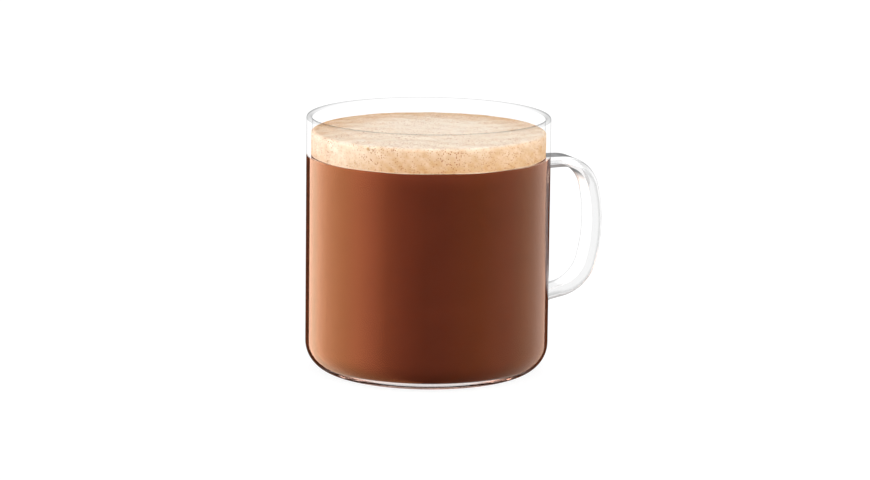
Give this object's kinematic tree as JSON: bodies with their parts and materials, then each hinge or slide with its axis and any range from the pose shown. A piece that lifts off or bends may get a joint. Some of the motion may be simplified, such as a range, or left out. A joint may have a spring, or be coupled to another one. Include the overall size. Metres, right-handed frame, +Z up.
{
  "type": "hot chocolate",
  "caption": "Hot chocolate with a thick layer of milk foam, filling a straight clear glass mug with a rounded bottom corner and a D-shaped glass strap handle.",
  "frame": {"origin": "on the mug's axis, at the underside of its base", "axes": "+Z up along the mug's axis; +X towards the middle of the handle; +Y to the left of someone looking along +X"},
  "size_m": [0.1107, 0.088, 0.093],
  "materials": {
    "clear_glass": "clear heatproof glass, smooth, with a fire-polished round rim",
    "cocoa": "opaque chocolate brown drink, wet and even",
    "milk_foam": "matte cream milk foam of fine bubbles, peach near the drink"
  },
  "bodies": {
    "root": {"glass_mug": "clear_glass", "cocoa": "cocoa", "milk_foam": "milk_foam"}
  },
  "joints": []
}
